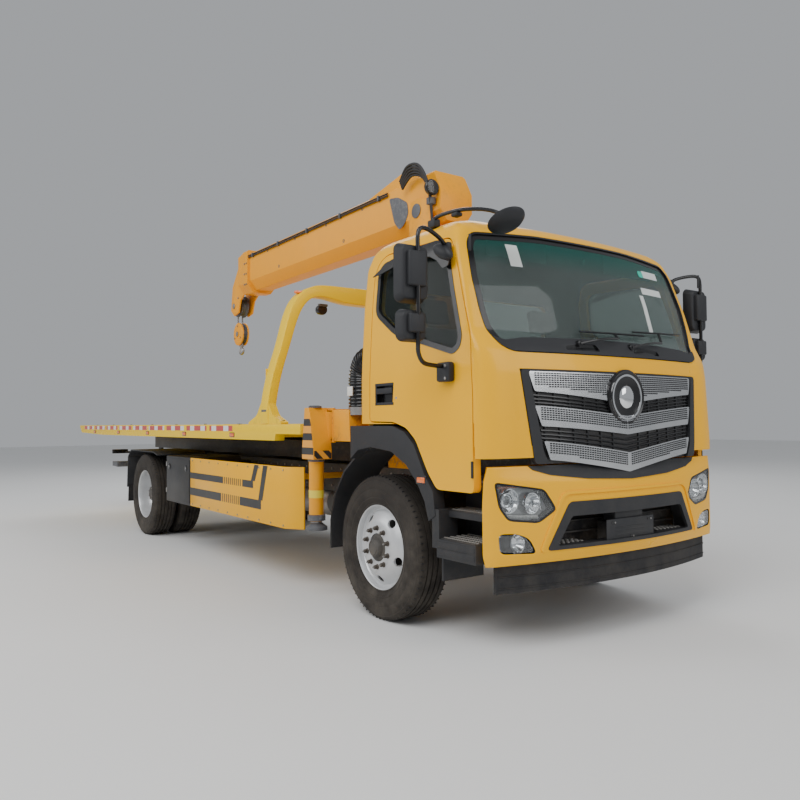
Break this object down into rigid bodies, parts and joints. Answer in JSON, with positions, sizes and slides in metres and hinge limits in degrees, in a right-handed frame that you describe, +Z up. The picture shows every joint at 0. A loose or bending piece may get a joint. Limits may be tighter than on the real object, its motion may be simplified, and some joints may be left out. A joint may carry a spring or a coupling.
{
  "type": "flatbed tow truck with crane",
  "caption": "Forward-control recovery truck with a sliding flat deck, front gantry, rear underlift and a telescopic crane behind the cab on outriggers.",
  "frame": {"origin": "on the ground under the middle of the whole truck", "axes": "+X forward along the truck, +Y to its left, +Z up"},
  "size_m": [9.72, 3.06, 3.605],
  "materials": {
    "cab_yellow": "gloss orange-yellow paint",
    "deck_yellow": "lemon yellow paint",
    "crane_orange": "faded orange-yellow paint",
    "dark_plastic": "dark grained plastic",
    "chassis_black": "black frame paint",
    "tyre_rubber": "tyre on painted steel rim",
    "lip_rubber": "flexible lip",
    "wheel_silver": "silver paint",
    "cylinder_chrome": "hard chrome rod",
    "steel_grey": "dark grey steel",
    "glass": "tinted glazing",
    "trim_fabric": "dark cab trim",
    "lamp_lens": "clear lamp lens"
  },
  "bodies": {
    "truck": {"cab_shell": "cab_yellow", "windscreen": "glass", "grille_panel": "dark_plastic", "rear_window": "glass", "headlamp_right": "lamp_lens", "headlamp_left": "lamp_lens", "front_bumper": "cab_yellow", "air_deflector": "lip_rubber", "dashboard": "trim_fabric", "seats": "trim_fabric", "front_mirror": "dark_plastic", "front_fender_right": "dark_plastic", "front_fender_left": "dark_plastic", "front_axle": "chassis_black", "rear_axle": "chassis_black", "chassis_frame": "chassis_black", "engine_block": "steel_grey", "side_skirt_right": "deck_yellow", "side_skirt_left": "deck_yellow", "toolbox_right": "steel_grey", "toolbox_left": "steel_grey", "fuel_tank": "wheel_silver", "rear_mudguard_right": "dark_plastic", "rear_mudguard_left": "dark_plastic", "air_intake": "dark_plastic", "crane_base": "crane_orange"},
    "steering_wheel": {"steering_wheel": "dark_plastic"},
    "knuckle_right": {"knuckle_right": "steel_grey"},
    "front_wheel_right": {"front_tyre_right": "tyre_rubber", "front_rim_right": "wheel_silver"},
    "rear_wheels_right": {"rear_wheels_right": "tyre_rubber"},
    "door_right": {"door_right": "cab_yellow", "door_glass_right": "glass", "door_mirror_right": "dark_plastic"},
    "outrigger_beam_right": {"outrigger_beam_right": "crane_orange"},
    "outrigger_leg_right": {"outrigger_leg_right": "steel_grey"},
    "knuckle_left": {"knuckle_left": "steel_grey"},
    "front_wheel_left": {"front_tyre_left": "tyre_rubber", "front_rim_left": "wheel_silver"},
    "rear_wheels_left": {"rear_wheels_left": "tyre_rubber"},
    "door_left": {"door_left": "cab_yellow", "door_glass_left": "glass", "door_mirror_left": "dark_plastic"},
    "outrigger_beam_left": {"outrigger_beam_left": "crane_orange"},
    "outrigger_leg_left": {"outrigger_leg_left": "steel_grey"},
    "tilt_frame": {"tilt_frame": "chassis_black"},
    "bed": {"deck": "deck_yellow", "gantry": "deck_yellow"},
    "underlift_arm": {"underlift_arm": "steel_grey"},
    "underlift_bar": {"underlift_bar": "steel_grey"},
    "crane_column": {"crane_column": "crane_orange"},
    "boom": {"boom_base": "crane_orange"},
    "boom_middle": {"boom_middle": "crane_orange"},
    "boom_tip": {"boom_tip": "crane_orange"},
    "luff_cylinder": {"luff_cylinder": "steel_grey"},
    "luff_rod": {"luff_rod": "cylinder_chrome"},
    "hook": {"hook_block": "crane_orange"}
  },
  "joints": [
    {"name": "steer_right", "type": "hinge", "parent": "truck", "child": "knuckle_right", "pos_m": [3.53, -0.8, 0.505], "axis": [0, 0, 1], "range_deg": [-38, 38]},
    {"name": "front_wheel_turn_right", "type": "hinge", "parent": "knuckle_right", "child": "front_wheel_right", "pos_m": [3.53, -0.975, 0.505], "axis": [0, 1, 0], "continuous": true},
    {"name": "rear_wheels_turn_right", "type": "hinge", "parent": "truck", "child": "rear_wheels_right", "pos_m": [-1.67, -0.8955, 0.505], "axis": [0, 1, 0], "continuous": true},
    {"name": "door_hinge_right", "type": "hinge", "parent": "truck", "child": "door_right", "pos_m": [4.622, -1.147, 1.5], "axis": [0, 0, 1], "range_deg": [0, 70]},
    {"name": "outrigger_beam_slide_right", "type": "slide", "parent": "truck", "child": "outrigger_beam_right", "axis": [0, -1, 0], "range_m": [0, 0.8]},
    {"name": "outrigger_leg_slide_right", "type": "slide", "parent": "outrigger_beam_right", "child": "outrigger_leg_right", "axis": [0, 0, -1], "range_m": [0, 0.545]},
    {"name": "steer_left", "type": "hinge", "parent": "truck", "child": "knuckle_left", "pos_m": [3.53, 0.8, 0.505], "axis": [0, 0, 1], "range_deg": [-38, 38]},
    {"name": "front_wheel_turn_left", "type": "hinge", "parent": "knuckle_left", "child": "front_wheel_left", "pos_m": [3.53, 0.975, 0.505], "axis": [0, 1, 0], "continuous": true},
    {"name": "rear_wheels_turn_left", "type": "hinge", "parent": "truck", "child": "rear_wheels_left", "pos_m": [-1.67, 0.8955, 0.505], "axis": [0, 1, 0], "continuous": true},
    {"name": "door_hinge_left", "type": "hinge", "parent": "truck", "child": "door_left", "pos_m": [4.622, 1.147, 1.5], "axis": [0, 0, -1], "range_deg": [0, 70]},
    {"name": "outrigger_beam_slide_left", "type": "slide", "parent": "truck", "child": "outrigger_beam_left", "axis": [0, 1, 0], "range_m": [0, 0.8]},
    {"name": "outrigger_leg_slide_left", "type": "slide", "parent": "outrigger_beam_left", "child": "outrigger_leg_left", "axis": [0, 0, -1], "range_m": [0, 0.545]},
    {"name": "steering_wheel_turn", "type": "hinge", "parent": "truck", "child": "steering_wheel", "pos_m": [4.19, 0.56, 1.82], "axis": [-0.5299, 0, 0.848], "range_deg": [-640, 640]},
    {"name": "deck_tilt", "type": "hinge", "parent": "truck", "child": "tilt_frame", "pos_m": [-3.42, 0, 0.93], "axis": [0, -1, 0], "range_deg": [0, 8.2]},
    {"name": "deck_slide", "type": "slide", "parent": "tilt_frame", "child": "bed", "axis": [-1, 0, 0], "range_m": [0, 2.7]},
    {"name": "underlift_tilt", "type": "hinge", "parent": "truck", "child": "underlift_arm", "pos_m": [-2.85, 0, 0.66], "axis": [0, -1, 0], "range_deg": [0, 20]},
    {"name": "underlift_extend", "type": "slide", "parent": "underlift_arm", "child": "underlift_bar", "axis": [-1, 0, 0], "range_m": [0, 0.5]},
    {"name": "crane_slew", "type": "hinge", "parent": "truck", "child": "crane_column", "pos_m": [2.91, 0, 1.606], "axis": [0, 0, 1], "continuous": true},
    {"name": "boom_luff", "type": "hinge", "parent": "crane_column", "child": "boom", "pos_m": [2.81, 0, 3.2], "axis": [0, 1, 0], "range_deg": [0, 75]},
    {"name": "telescope_middle", "type": "slide", "parent": "boom", "child": "boom_middle", "axis": [-1, 0, 0], "range_m": [0, 2.4]},
    {"name": "telescope_tip", "type": "slide", "parent": "boom_middle", "child": "boom_tip", "axis": [-1, 0, 0], "range_m": [0, 2.4]},
    {"name": "luff_cylinder_swing", "type": "hinge", "parent": "crane_column", "child": "luff_cylinder", "pos_m": [2.69, 0, 1.85], "axis": [0, 1, 0], "range_deg": [-0.5, 2]},
    {"name": "luff_rod_slide", "type": "slide", "parent": "luff_cylinder", "child": "luff_rod", "axis": [-0.1875, 0, 0.9823], "range_m": [0, 0.52]},
    {"name": "hook_swing", "type": "hinge", "parent": "boom_tip", "child": "hook", "pos_m": [-1.36, 0, 2.93], "axis": [0, 1, 0], "range_deg": [-78, 30]}
  ],
  "couplings": [
    {"joint": "steer_left", "follows": "steer_right", "ratio": 1},
    {"joint": "steering_wheel_turn", "follows": "steer_right", "ratio": 16},
    {"joint": "deck_tilt", "follows": "deck_slide", "rad_per_m": 0.051713},
    {"joint": "telescope_tip", "follows": "telescope_middle", "ratio": 1},
    {"joint": "luff_cylinder_swing", "follows": "boom_luff", "ratio": 0.02},
    {"joint": "luff_rod_slide", "follows": "boom_luff", "m_per_rad": 0.388}
  ]
}
